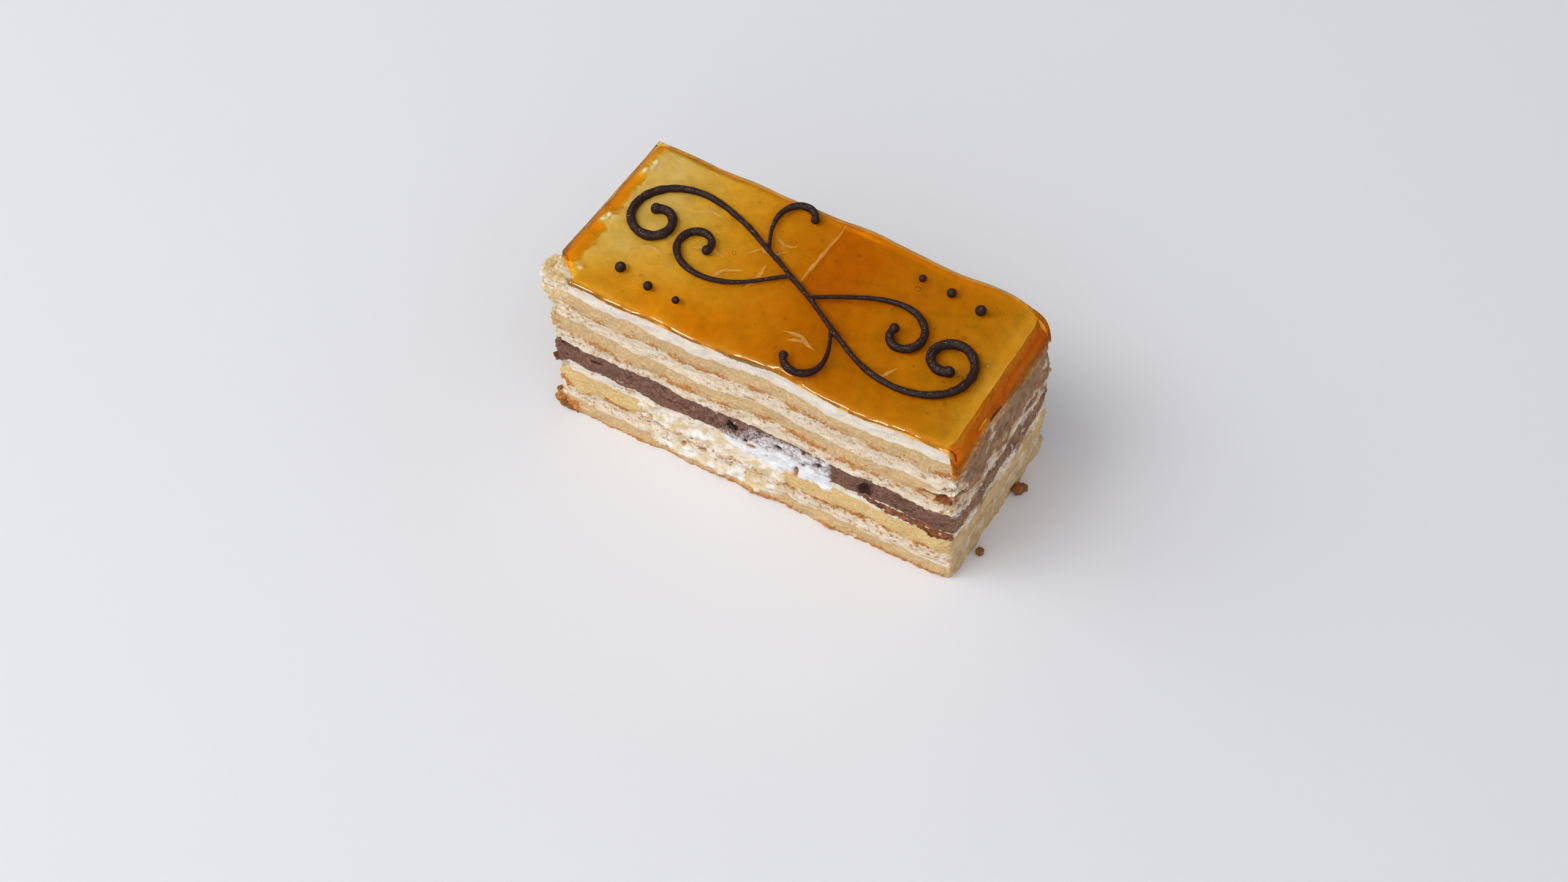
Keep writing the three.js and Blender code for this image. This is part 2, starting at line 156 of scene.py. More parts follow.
def cut_layer(node, thick):
    """A copy of a layer's solid with its side cut finely; "foot" is the height above its underside."""
    level = [name for name, _ in LAYERS].index(node)
    covered = node == "top_cream"
    piece = bpy.data.objects.new("cut_" + node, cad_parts[node].data.copy())
    bpy.context.collection.objects.link(piece)
    piece.data.materials.clear()
    pick(piece)
    bpy.ops.mesh.customdata_custom_splitnormals_clear()
    bpy.ops.object.mode_set(mode="EDIT")
    bpy.ops.mesh.select_all(action="SELECT")
    bpy.ops.mesh.remove_doubles(threshold=MM / 1000)
    bpy.ops.mesh.select_all(action="DESELECT")
    bpy.ops.object.mode_set(mode="OBJECT")
    foot = np.full(len(piece.data.vertices), thick / 2)
    for face in piece.data.polygons:
        if abs(face.normal.z) > CAP_SLOPE:
            face.select = face.normal.z < 0 or not covered
            foot[list(face.vertices)] = 0 if face.normal.z < 0 else thick
    keep(piece, "foot", foot)
    bpy.ops.object.mode_set(mode="EDIT")
    bpy.ops.mesh.delete(type="FACE")
    bpy.ops.mesh.select_all(action="SELECT")
    bpy.ops.mesh.subdivide(number_cuts=TOP_CUTS if covered else SIDE_CUTS)
    bpy.ops.mesh.vertices_smooth(factor=0.5, repeat=10, zaxis=False)
    bpy.ops.mesh.select_all(action="DESELECT")
    bpy.ops.mesh.select_non_manifold()
    bpy.ops.mesh.extrude_edges_move(TRANSFORM_OT_translate={"value": (0, 0, 0)})
    bpy.ops.transform.resize(value=INSET)
    bpy.ops.mesh.fill_holes(sides=0)
    bpy.ops.object.mode_set(mode="OBJECT")
    inside = np.empty(len(piece.data.vertices), bool)
    piece.data.vertices.foreach_get("select", inside)
    bpy.ops.object.mode_set(mode="EDIT")
    bpy.ops.mesh.select_all(action="SELECT")
    bpy.ops.mesh.normals_make_consistent(inside=False)
    bpy.ops.object.mode_set(mode="OBJECT")
    if covered:
        inside |= normals_of(piece)[:, 2] > 0.9
    foot = kept(piece, "foot")
    share = foot / thick
    calm = CALM + (1 - CALM) * smooth(np.minimum(foot, thick - foot), 0, CALM_REACH)
    side = piece.vertex_groups.new(name="side")
    for i in np.flatnonzero(~inside):
        side.add([int(i)], float(calm[i]), "REPLACE")
    points = points_of(piece)
    corner = smooth(points[:, 0], *BACK_CORNER_ALONG) * smooth(points[:, 1], 8, 24)
    points[:, 1] -= BACK_CORNER * corner * smooth(points[:, 2], 36, 52)
    points[:, 0] += RUN_BACKING * smooth(points[:, 0], 49.5, 52) * smooth(points[:, 2], 45, 48)
    flat = points * (1, 1, 0)
    for joint, weight in ((level, 1 - share), (level + 1, share)):
        if 0 < joint < len(LAYERS):
            broad, fine = rough(flat, 6.0, 3.1 * joint), rough(flat, 1.6, 7.7 * joint)
            points[:, 2] += weight * WAVER * (1.2 * broad + 0.7 * fine)
    if node.endswith("cream"):
        points[:, 2] += CREAM_REACH * ((share > 0.999).astype(float) - (share < 0.001))
    place_points(piece, points)
    return piece


def press(piece, kind, grain, depth, level=0.5, drag=1.0, **settings):
    """Presses a pattern of a grain in millimetres into the cut side, drawn out along the cut by drag."""
    texture = bpy.data.textures.new("grain", kind)
    texture.noise_scale = grain * MM
    for name, value in settings.items():
        setattr(texture, name, value)
    stretch = bpy.data.objects.new("drag", None)
    stretch.scale = (drag, drag, 1)
    bpy.context.collection.objects.link(stretch)
    bpy.context.view_layer.update()
    relief = piece.modifiers.new("grain", "DISPLACE")
    relief.texture = texture
    relief.texture_coords = "OBJECT"
    relief.texture_coords_object = stretch
    relief.strength = depth * MM
    relief.mid_level = level
    relief.vertex_group = "side"
    pick(piece)
    bpy.ops.object.modifier_apply(modifier=relief.name)
    bpy.data.objects.remove(stretch)


def stain(blots, x, z, uneven):
    """How strongly blots of crumb colour each point of the front."""
    tone = sum(w * np.exp(-(((x - a) / c) ** 2) - ((z - b) / d) ** 2) for a, b, c, d, w in blots)
    return smooth(tone + uneven, 0.35, 0.8)


def banded(z, bands):
    return sum(weight * band(z, low, high, soft) for weight, low, high, soft in bands)


def finish_cut(piece, before, crusted):
    """Browns the skin, wipes cream over the cut, tears the pits and keeps what the material has to know."""
    points, normals = points_of(piece), normals_of(piece)
    x, y, z = points.T
    front = smooth(-normals[:, 1], *FACING) * smooth(-y, *FRONT_OUT)
    right = smooth(normals[:, 0], *FACING) * smooth(x, *RIGHT_OUT)
    left = smooth(-x, *LEFT_OUT)
    lumps, fine = rough(points, 2.4, 11.0, (1.4, 1, 1)), rough(points, 0.9, 5.0)
    streaks = rough(points, 3.0, 2.0, (1, 1.3, 1))
    brown, scorched_and_crack_shade = (front * stain(blots, x, z, 0.3 * lumps + 0.3 * fine) for blots in (BROWNED, SCORCHED))
    if crusted:
        patch = smooth(rough(points, 5.0, 3.0), -0.35, 0.4)
        skin = (0.15 + 1.6 * patch) * (1 + 0.7 * lumps + 0.6 * fine)
        brown = np.maximum(brown, (1 - 0.5 * right) * smooth(skin - kept(piece, "foot"), -0.2, 0.7))
    wiped = band(x, *WIPED_ALONG) * band(z, *WIPED_UP)
    wiped = front * smooth(wiped + 0.45 * lumps + 0.15 * fine, 0.2, 0.8)
    frost = smooth(x, *FROST_START) * (1 - smooth(x + 0.9 * lumps, *FROST_STOP)) * band(z, *FROST_UP)
    frost *= 1 - 0.42 * smooth(z + 1.5 * lumps, 20.5, 23) - 0.2 * (1 - smooth(x, -6, 6))
    frost = front * smooth(frost + 0.15 * lumps + 0.15 * fine, 0.05, 1.05)
    brown = brown * (1 - 0.8 * frost) * (1 - 0.5 * wiped)
    fluff = smooth(banded(z, FLUFF) - streaks + 0.5 * fine, 0.0, 0.5)
    wiped = np.maximum(wiped, 0.55 * right * fluff * (1 - smooth(z, 43, 46)))
    edge = smooth(x, 51, 53.5) * smooth(-y, 18, 21) * band(z, 28, 44, 1.5)
    wiped = np.maximum(wiped, edge * smooth(0.1 + lumps + 0.7 * fine, 0, 0.8))
    drawn = right * banded(z, DRAWN) * (0.95 + 0.9 * streaks + 0.3 * fine) * (1 - 0.5 * edge)
    push = np.maximum(wiped, frost) * (0.25 + 0.6 * lumps + 0.15 * fine)
    push += 0.4 * brown * (0.5 + lumps + fine) + edge * (0.4 * lumps + 0.6 * fine)
    push += (0.8 * left * (lumps + 0.6 * fine) + 0.3 * right * streaks) * (1 - smooth(z, 44, 50))
    for a, b, wide, tall, depth, tint in PITS:
        hole = front * np.exp(-((((x - a) / wide) ** 2 + ((z - b) / tall) ** 2) ** 1.5))
        push -= depth * hole
        wiped, frost = wiped * (1 - hole), frost * (1 - hole)
        brown = np.maximum(brown, tint * hole)
    gap = z - SPLIT["height"] - SPLIT["rise"] * (x - SPLIT["middle"]) - 0.5 * lumps
    split = front * smooth(x, *SPLIT["along"]) * np.exp(-((gap / SPLIT["half"]) ** 4))
    push -= SPLIT["depth"] * split
    # Painted shade: the whole split takes the dark red crumb colour, for the shade inside it as well as its
    # crumb.
    scorched_and_crack_shade = np.maximum(scorched_and_crack_shade, split)
    wiped = np.maximum(wiped, 0.6 * front * smooth(x, 43, 48) * band(gap, 0.8, 2.2, 0.3))
    points += push[:, None] * normals
    points[:, 2] = np.maximum(points[:, 2], 0)
    place_points(piece, points)
    keep(piece, "relief", ((points_of(piece) - before) * normals).sum(1))
    keep(piece, "wiped", wiped)
    keep(piece, "frost", frost)
    keep(piece, "brown", brown)
    keep(piece, "scorched_and_crack_shade", scorched_and_crack_shade)
    keep(piece, "drawn", np.clip(drawn, 0, 1))
    keep(piece, "dusted", right * band(z, *DUSTED_UP) * np.clip(0.75 + 0.5 * streaks + 0.2 * fine, 0, 1))
    keep(piece, "soaked", SOAKED * right * smooth(z, *SOAKED_UP))


def linear(hex_colour):
    """An sRGB hex colour as linear RGBA."""
    parts = [int(hex_colour[i : i + 2], 16) / 255 for i in (1, 3, 5)]
    return tuple(c / 12.92 if c <= 0.04045 else ((c + 0.055) / 1.055) ** 2.4 for c in parts) + (1.0,)


def new_material(name):
    material = bpy.data.materials.new(name)
    material.use_nodes = True
    material.node_tree.nodes.clear()
    return material


def add(material, kind, inputs=None, out=0, **settings):
    """Adds a node with its settings and links, and gives one of its outputs.

    An input is a value or another node's output. A Mix of colours has its share at input 0, its colours
    at 6 and 7, and its result at output 2. A MapRange goes from 1 and 2 to 3 and 4.
    """
    made = material.node_tree.nodes.new("ShaderNode" + kind)
    for name, value in settings.items():
        setattr(made, name, value)
    for name, value in (inputs or {}).items():
        if isinstance(value, bpy.types.NodeSocket):
            material.node_tree.links.new(value, made.inputs[name])
        else:
            made.inputs[name].default_value = value
    return made.outputs[out] if made.outputs else made


def patchy(material, place, size, low, high, least=0.0, most=1.0, detail=3.0, roughness=0.6):
    """A value that goes from least to most in uneven patches of a size in millimetres."""
    cloud = add(material, "TexNoise", {
        "Vector": place, "Scale": 1 / (size * MM), "Detail": detail, "Roughness": roughness,
    })
    return add(material, "MapRange", {0: cloud, 1: low, 2: high, 3: least, 4: most})


def dress(material, place, colour, skin, scorch):
    """Browned skin, and the crumb, cream and glaze that the knife spread over a cut, laid on its colour."""
    grains = add(material, "TexNoise", {
        "Vector": place, "Scale": 1 / (0.6 * MM), "Detail": 5.0, "Roughness": 0.7,
    })
    ragged = add(material, "Math", {0: grains, 1: 0.5}, operation="SUBTRACT")
    clouds = patchy(material, place, 2.8, 0.4, 0.62, detail=5.0)
    scabs = patchy(material, place, 0.9, 0.33, 0.6)
    for name, share, dark, light, tear in (  # tear is how ragged its edge is
        ("drawn", clouds, "#86624A", "#A68464", 1.4),
        ("dusted", clouds, "#B4946A", "#C8AC80", 1.0),
        ("wiped", clouds, "#DCC496", "#F0EBE4", 1.2),
        ("brown", scabs, skin, scorch, 1.6),
        # dark red crumb, and the painted shade inside the split
        ("scorched_and_crack_shade", clouds, "#5A2C16", "#985A30", 2.4),
        ("frost", grains, "#DAD9DA", "#F8F8F8", 1.5),
        ("soaked", clouds, "#87653C", "#97784E", 0.4),
    ):
        over = add(material, "Mix", {0: share, 6: linear(dark), 7: linear(light)}, out=2, data_type="RGBA")
        field = add(material, "Attribute", out="Fac", attribute_name=name)
        torn = add(material, "Math", {0: ragged, 1: tear, 2: field}, operation="MULTIPLY_ADD")
        cover = add(material, "MapRange", {0: torn, 1: 0.2, 2: 0.85})
        colour = add(material, "Mix", {0: cover, 6: colour, 7: over}, out=2, data_type="RGBA")
    return colour


def sponge_material(name, crumb, light, pore_and_shade, skin, scorch):
    """Baked egg sponge cut with a knife: matte and soft, with small pores and a browned skin; the pressed-in
    hollows of the cut are painted darker as shade.
    """
    material = new_material(name)
    place = add(material, "TexCoord", out="Object")
    crumbs = patchy(material, place, 0.8, 0.35, 0.7)
    colour = add(material, "Mix", {0: crumbs, 6: linear(crumb), 7: linear(light)}, out=2, data_type="RGBA")
    broad = patchy(material, place, 6.0, 0.45, 0.75, most=0.35)
    relief = add(material, "Attribute", out="Fac", attribute_name="relief")
    # Painted shade: the deeper a point of the cut is pressed in, the nearer its colour goes to the dark pore
    # colour.
    hollows = add(material, "MapRange", {0: relief, 1: -0.12, 2: -0.6})
    for share in (broad, hollows):
        colour = add(material, "Mix", {0: share, 6: colour, 7: linear(pore_and_shade)}, out=2, data_type="RGBA")
    speck = patchy(material, place, 0.4, 0.35, 0.65, 0.94, 1.07)
    colour = add(material, "VectorMath", {0: colour, 1: speck}, operation="MULTIPLY")
    colour = dress(material, place, colour, skin, scorch)
    grit = add(material, "TexNoise", {
        "Vector": place, "Scale": 1 / (0.8 * MM), "Detail": 6.0, "Roughness": 0.75,
    })
    bump = add(material, "Bump", {"Height": grit, "Strength": 0.5, "Distance": 0.3 * MM})
    shader = add(material, "BsdfPrincipled", {
        "Base Color": colour, "Roughness": 0.9, "Specular IOR Level": 0.1, "Normal": bump,
        "Subsurface Weight": 0.15, "Subsurface Radius": (1.0, 0.6, 0.35), "Subsurface Scale": 1.2 * MM,
    })
    add(material, "OutputMaterial", {"Surface": shader})
    return material


def layer_piece(node, material, presses, crusted=False):
    piece = cut_layer(node, dict(LAYERS)[node])
    before = points_of(piece)
    for settings in presses:
        press(piece, **settings)
    finish_cut(piece, before, crusted)
    piece.data.materials.append(material)
    pick(piece)
    bpy.ops.object.shade_smooth_by_angle(angle=SOFT_ANGLE)
    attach(piece, "root")
    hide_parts(node)
    return piece


# Egg sponge bakes to a warm straw colour, more yolk makes it yellow, and cocoa a dull red brown.
pale = sponge_material("pale_sponge", "#C5A274", "#D8BC8E", "#A98450", "#CD955A", "#B47036")
yellow = sponge_material("yellow_sponge", "#D2AE74", "#E2C68F", "#B58A4A", "#CB9252", "#AC682E")
cocoa = sponge_material("cocoa_sponge", "#6E4C3D", "#8C6A5A", "#3F2B22", "#8A4E2C", "#5A3018")
SPONGES = [  # layer, material, slot and how coarse its crumb is
    ("base_sponge", pale, "pale_sponge", 0.6), ("lower_sponge", yellow, "yellow_sponge", 0.6),
    ("cocoa_sponge", cocoa, "cocoa_sponge", 1.0), ("middle_sponge", pale, "pale_sponge", 0.5),
    ("upper_sponge", pale, "pale_sponge", 0.5),
]
for node, material, slot, coarse in SPONGES:
    layer_piece(node, material, [
        dict(kind="CLOUDS", grain=3.0, depth=0.9 * coarse, drag=1.6, noise_depth=3),
        dict(kind="VORONOI", grain=0.9, depth=0.4 * coarse, level=0.75, drag=1.3, contrast=1.6),
        dict(kind="CLOUDS", grain=0.5, depth=0.3 * coarse, noise_depth=2),
    ], crusted=node != "cocoa_sponge")


# Cream layers: whipped caramel buttercream spread between the sponges, dragged by the knife along the cut,
# with small air pits and crumbs carried over from the sponge. The top one is the bed that shows through the
# glaze, so its upper face has a quieter colour of its own.
def cream_material(name, low, high, crumbs):
    """Whipped buttercream: soft satin, pale beige, with fine air pits and crumbs caught in it."""
    material = new_material(name)
    place = add(material, "TexCoord", out="Object")
    drag = add(material, "Mapping", {"Vector": place, "Scale": (0.4, 0.4, 1.0)})
    smears = patchy(material, drag, 1.6, 0.35, 0.68)
    colour = add(material, "Mix", {0: smears, 6: linear(low), 7: linear(high)}, out=2, data_type="RGBA")
    relief = add(material, "Attribute", out="Fac", attribute_name="relief")
    # Painted shade: the pits of the cut go darker, the deeper they are pressed in.
    pits = add(material, "MapRange", {0: relief, 1: -0.08, 2: -0.5})
    speck = patchy(material, place, 1.3, 0.66 - 0.1 * crumbs, 0.72 - 0.06 * crumbs, detail=4.0, roughness=0.7)
    for share, over in ((pits, "#BFA079"), (speck, "#C39B68")):
        colour = add(material, "Mix", {0: share, 6: colour, 7: linear(over)}, out=2, data_type="RGBA")
    fleck = patchy(material, place, 0.35, 0.35, 0.65, 0.92, 1.05)
    colour = add(material, "VectorMath", {0: colour, 1: fleck}, operation="MULTIPLY")
    colour = dress(material, place, colour, "#D2A064", "#BC7C3C")
    along = add(material, "SeparateXYZ", {"Vector": place}, out="X")
    rightward = add(material, "MapRange", {0: along, 1: -25 * MM, 2: 5 * MM})
    bed = add(material, "Mix", {
        0: rightward, 6: linear("#C7C2B9"), 7: linear("#B0ABA2"),
    }, out=2, data_type="RGBA")
    mottle = patchy(material, place, 3.0, 0.3, 0.7, 0.84, 1.1, detail=5.0)
    bed = add(material, "VectorMath", {0: bed, 1: mottle}, operation="MULTIPLY")
    glazed = add(material, "Attribute", out="Fac", attribute_name="bed")
    colour = add(material, "Mix", {0: glazed, 6: colour, 7: bed}, out=2, data_type="RGBA")
    grit = add(material, "TexNoise", {
        "Vector": place, "Scale": 1 / (0.6 * MM), "Detail": 5.0, "Roughness": 0.75,
    })
    bump = add(material, "Bump", {"Height": grit, "Strength": 0.8, "Distance": 0.25 * MM})
    shader = add(material, "BsdfPrincipled", {
        "Base Color": colour, "Roughness": 0.6, "Specular IOR Level": 0.2, "Normal": bump,
        "Subsurface Weight": 0.25, "Subsurface Radius": (1.0, 0.8, 0.55), "Subsurface Scale": 1.5 * MM,
    })
    add(material, "OutputMaterial", {"Surface": shader})
    return material


# Plain cream is light and even. The crumbed one is warmer, with brown specks of sponge worked into it.
plain_cream = cream_material("plain_cream", "#E2D4BF", "#EEE4D6", 0.0)
crumbed_cream = cream_material("crumbed_cream", "#E0C9A9", "#EFE2CD", 1.0)
CREAMS = [  # layer, material and how coarse its cut is
    ("lower_cream", crumbed_cream, 1.0), ("thin_cream", plain_cream, 0.7),
    ("speckled_cream", crumbed_cream, 1.0), ("middle_cream", crumbed_cream, 0.8),
    ("top_cream", plain_cream, 0.5),
]
cuts = {}
for node, material, coarse in CREAMS:
    cuts[node] = layer_piece(node, material, [
        dict(kind="CLOUDS", grain=3.2, depth=0.6 * coarse, drag=2.5, noise_depth=3),
        dict(kind="VORONOI", grain=1.5, depth=0.35 * coarse, level=0.6, drag=1.2, contrast=1.8),
        dict(kind="CLOUDS", grain=0.6, depth=0.25 * coarse, drag=1.5, noise_depth=2),
    ])

# Caramel glaze: sugar and cream boiled down and set to a clear amber jelly, poured over the top cream and
# left to run down over the right end. It is thin where it was wiped at the left, and deep where the cream
# below it dips.
TOP_LEVEL = 52.2
GLAZE_LAYER, LEAST_LAYER = 1.9, 0.8  # how thick the glaze stands over that level, and the least of it
RIPPLE = 0.35
SWELLS = [(-51, 1.4, 9), (-15, -1.1, 8), (5, 2.2, 10), (27, -1.6, 10)]  # place, rise and spread
FRONT_LEAN, BACK_LEAN = 1.2, 0.6  # how far the front and the back are askew at the ends
END_LEAN = 2.2  # how far the left end is askew from front to back
CORNER_NOTCH = 7.0  # how much of the torn front left corner the glaze leaves bare
CREASE = 51.0  # where the top turns down over the right end
CREASE_LEAN = 0.9
RUN_PROFILE = [  # how far out and down the run goes from the crease
    (0, 0), (1.1, -0.2), (2.0, -0.7), (2.75, -1.55), (3.3, -2.7), (3.7, -4.0), (4.0, -5.3), (4.1, -6.4),
]
RUN_EDGE = [  # height of its lower edge across the right end
    (-23, 45.2), (-15, 48.3), (-8, 49.5), (-2, 48.6), (3, 47), (9, 45.4), (14, 46.2), (20, 46.8), (24, 45.8),
]
GLAZE_CELLS, RUN_CELLS = (190, 92), 18
GLAZE_BODY, GLAZE_RIM = 3.1, 1.65  # thickness inside and at the rim
GLAZE_LIP, BACK_LIP = 0.25, 0.15  # how far it hangs over the cut front, and over the back
ROLL_REACH, ROLL_DROP = 2.6, 1.05  # how far in from the rim it starts to round off, and by how much
RIM_BEVEL = 0.65
DEPTHS = [  # depth of clear glaze along the slice
    (-56, 1.9), (-50.9, 1.6), (-49.7, 0.5), (-44, 0.52), (-38, 0.65), (-30, 0.88), (-22, 1.18), (-14, 1.45),
    (-6, 1.65), (0, 1.8), (8, 1.95), (15, 1.9), (25, 1.75), (36, 1.65), (46, 1.45), (50.5, 1.1), (53, 1.0),
]
RIM_DEPTH, LEAST_DEPTH = 1.35, 0.05
BARE = [  # spots at the left where the cream comes up through the glaze: place and reach
    (-51.2, 13.5, 1.5), (-50.5, 16.6, 1.2), (-51.0, -2.4, 1.5), (-52.0, -4.6, 1.1), (-48.6, -20, 0.8),
]


def swell(x, y):
    height = sum(rise * np.exp(-(((x - place) / spread) ** 2)) for place, rise, spread in SWELLS)
    return height * (1 - 0.5 * smooth(y, -HALF_WIDTH, HALF_WIDTH))


def glaze_height(x, y):
    uneven = 0.6 * np.sin(0.21 * x + 0.13 * y + 21) + 0.4 * np.sin(0.39 * x - 0.27 * y + 37)
    thick = GLAZE_LAYER * (1 - 0.35 * smooth(-x, 25, 50)) - 0.3 * swell(x, y)
    return TOP_LEVEL + swell(x, y) + RIPPLE * uneven + np.maximum(thick, LEAST_LAYER)


def across(x, v):
    """How far across the slice a share of its half width lies."""
    front = -HALF_WIDTH + FRONT_LEAN * x / HALF_LENGTH
    back = HALF_WIDTH + BACK_LEAN * x / HALF_LENGTH
    return front + (back - front) * (v + 1) / 2


def rim_distance(x, y):
    """How far inside the cut front, back and left end a point lies."""
    front, back = across(x, -1), across(x, 1)
    left = -HALF_LENGTH + END_LEAN * (y + HALF_WIDTH) / (2 * HALF_WIDTH)
    return np.minimum(np.minimum(y - front, back - y), x - left)


def left_edge(v):
    """How far left the glaze reaches: it leaves the torn front corner bare."""
    return -HALF_LENGTH - 0.3 + END_LEAN * (v + 1) / 2 + CORNER_NOTCH * smooth(-v, 0.66, 0.97)


def glaze_depth(x, y):
    """How deep the clear glaze is over the cream."""
    flat = np.stack([x, y, 0 * x], 1)
    ragged = rough(flat, 3.0, 2.0) + 0.5 * rough(flat, 1.0, 9.0)
    places, depths = np.array(DEPTHS).T
    wander = np.where(x < -44, 1.3 * ragged, 0.25 * ragged)
    depth = np.interp(x + wander, places, depths)
    depth += 0.12 * rough(flat, 6.0, 8.0) + 0.07 * rough(flat, 1.8, 4.0)
    inner = smooth(x, -51, -47)
    depth += 0.14 * smooth(-y, -6, 6) * inner * (1 - smooth(x, -36, -20))
    depth += 0.5 * smooth(-y, 9, 20) * smooth(-x, 3, 20) * inner
    depth += 0.35 * smooth(x + 0.4 * ragged, -0.7, 0.1) * (1 - smooth(x, 3, 20)) * smooth(y, -4, 5)
    for a, b, reach in BARE:
        near = np.exp(-(((x - a) ** 2 + (y - b) ** 2) / reach**2) + 0.5 * ragged)
        depth = depth + (0.02 - depth) * np.clip(near, 0, 1)
    rim = 1 - smooth(rim_distance(x, y), 0.2, 2.4)
    return np.maximum(depth + (RIM_DEPTH - depth) * rim, LEAST_DEPTH)


top_cream = cuts["top_cream"]
points = points_of(top_cream)
foot = kept(top_cream, "foot")
thick = dict(LAYERS)["top_cream"]
shoulder = smooth(foot, 2.4, thick) * (1 - smooth(rim_distance(points[:, 0], points[:, 1]), 0.4, 3.5))
points[:, 1] += 0.8 * shoulder * (points[:, 1] < 0)
bed = np.flatnonzero(foot > thick - 0.01)
x, y, _ = points[bed].T
deep = glaze_depth(x, y)
roll = ROLL_DROP * np.clip(1 - rim_distance(x, y) / ROLL_REACH, 0, 1) ** 2
points[bed, 2] = glaze_height(x, y) - deep - roll
glazed = np.zeros(len(points))
glazed[bed] = smooth(deep, 0.1, 0.4) * smooth(x - left_edge(y / HALF_WIDTH), -0.2, 0.6)
place_points(top_cream, points)
x, y, z = points.T
under = z > glaze_height(x, y) - ROLL_DROP - GLAZE_RIM + 0.2
wet = under * (1 - smooth(rim_distance(x, y), 0.6, 2.6)) * (0.5 + 0.3 * smooth(-y, 8, 18))
wet = np.maximum(wet, 0.5 * under * smooth(x, 48.5, 52))
soaked = np.maximum(kept(top_cream, "soaked"), wet)
top_cream.data.attributes["soaked"].data.foreach_set("value", soaked.astype(np.float32))
keep(top_cream, "bed", smooth(normals_of(top_cream)[:, 2], 0.3, 0.8) * glazed * (1 - soaked))

bpy.ops.object.select_all(action="DESELECT")
bpy.ops.mesh.primitive_grid_add(
    x_subdivisions=GLAZE_CELLS[0] + RUN_CELLS, y_subdivisions=GLAZE_CELLS[1], size=2,
)
glaze = bpy.context.object
glaze.name = "glaze"
u, v, _ = ((points_of(glaze) + (*CENTRE, 0)) * MM).T
top_share = 2 * GLAZE_CELLS[0] / (GLAZE_CELLS[0] + RUN_CELLS) - 1
left = left_edge(v)
end = CREASE + CREASE_LEAN * (v + 1) / 2
x = left + (end - left) * np.clip((u + 1) / (top_share + 1), 0, 1)
run = np.clip((u - top_share) / (1 - top_share), 0, 1) * (len(RUN_PROFILE) - 1)
profile = np.array(RUN_PROFILE, float)
out = np.interp(run, range(len(profile)), profile[:, 0])
drop = np.interp(run, range(len(profile)), profile[:, 1])
y = across(x + out, v * (1 + np.where(v < 0, GLAZE_LIP, BACK_LIP) / HALF_WIDTH))
y -= BACK_CORNER * smooth(x + out, *BACK_CORNER_ALONG) * smooth(v, 0.3, 1.0)
fall = np.interp(y, *np.array(RUN_EDGE).T) - glaze_height(x, y)
z = glaze_height(x, y) - drop / profile[-1, 1] * np.abs(fall)
z -= ROLL_DROP * np.clip(1 - (rim_distance(x, y) + GLAZE_LIP) / ROLL_REACH, 0, 1) ** 2
z += 0.07 * rough(np.stack([x, y, 0 * x], 1), 5.0, 6.0)
place_points(glaze, np.stack([x + out, y, z], 1))
core = glaze.vertex_groups.new(name="core")
for i, weight in enumerate(smooth(rim_distance(x, y), 0.5, 3.0) * (1 - 0.75 * smooth(run, 1, 4))):
    core.add([i], float(weight), "REPLACE")
pick(glaze)
body = glaze.modifiers.new("body", "SOLIDIFY")
body.thickness = GLAZE_BODY * MM
body.vertex_group = "core"
body.thickness_vertex_group = GLAZE_RIM / GLAZE_BODY
body.offset = -1
bpy.ops.object.modifier_apply(modifier=body.name)
glaze.vertex_groups.clear()
rim = glaze.modifiers.new("rim", "BEVEL")
rim.width = RIM_BEVEL * MM
rim.segments = 6
rim.limit_method = "ANGLE"
rim.angle_limit = SOFT_ANGLE
bpy.ops.object.modifier_apply(modifier=rim.name)
bpy.ops.object.shade_smooth()

# Boiled sugar set clear: a wet, even gloss, and light that goes through to the cream and comes back amber,
# the deeper the darker. Its IOR is below the 1.45 of sugar, as the real top mirrors the room only weakly.
jelly = new_material("caramel_jelly")
shader = add(jelly, "BsdfPrincipled", {
    "Base Color": linear("#FFFFFF"), "Roughness": 0.04, "IOR": 1.27, "Transmission Weight": 1.0,
    "Specular Tint": linear("#F9E9C9"),
})
amber = add(jelly, "VolumeAbsorption", {"Color": linear("#FCE635"), "Density": 1400.0})
add(jelly, "OutputMaterial", {"Surface": shader, "Volume": amber})
glaze.data.materials.append(jelly)
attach(glaze, "root")
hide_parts("caramel_glaze")

# Piping: melted dark chocolate, piped through a fine nozzle in one scroll with pearls beside it. It set satin
# on the glaze, which wets it and climbs a little way up its foot.
STEM = dict(start=(0, 0), turn=-0.5, length=82, ease=2.3, curl=0.3, thin=0.65, thick=1.2)
CURLS = [
    dict(start=(3.6, -2), turn=0.62, length=48, ease=2.0, curl=-0.36, thin=0.55, thick=1.05),
    dict(start=(12, -6.2), turn=-1.1, length=24, ease=1.4, curl=-0.34, thin=0.5, thick=0.95),
]
PEARLS = [(23.5, 17.5, 1.0), (31.5, 17.0, 1.2), (40.0, 15.5, 1.4)]  # place and radius
STEP = 1.0
STAND = 0.6  # the middle of a line stands this share of its radius above the glaze
END_BALL = 1.2  # a line ends in a ball that is this much thicker
PULSE = 0.22  # how unevenly the hand pressed
FUSE_GRAIN = 0.25
WETTING, WETTING_REACH = 0.22, 0.6  # how high the glaze climbs up the chocolate, and from how far out


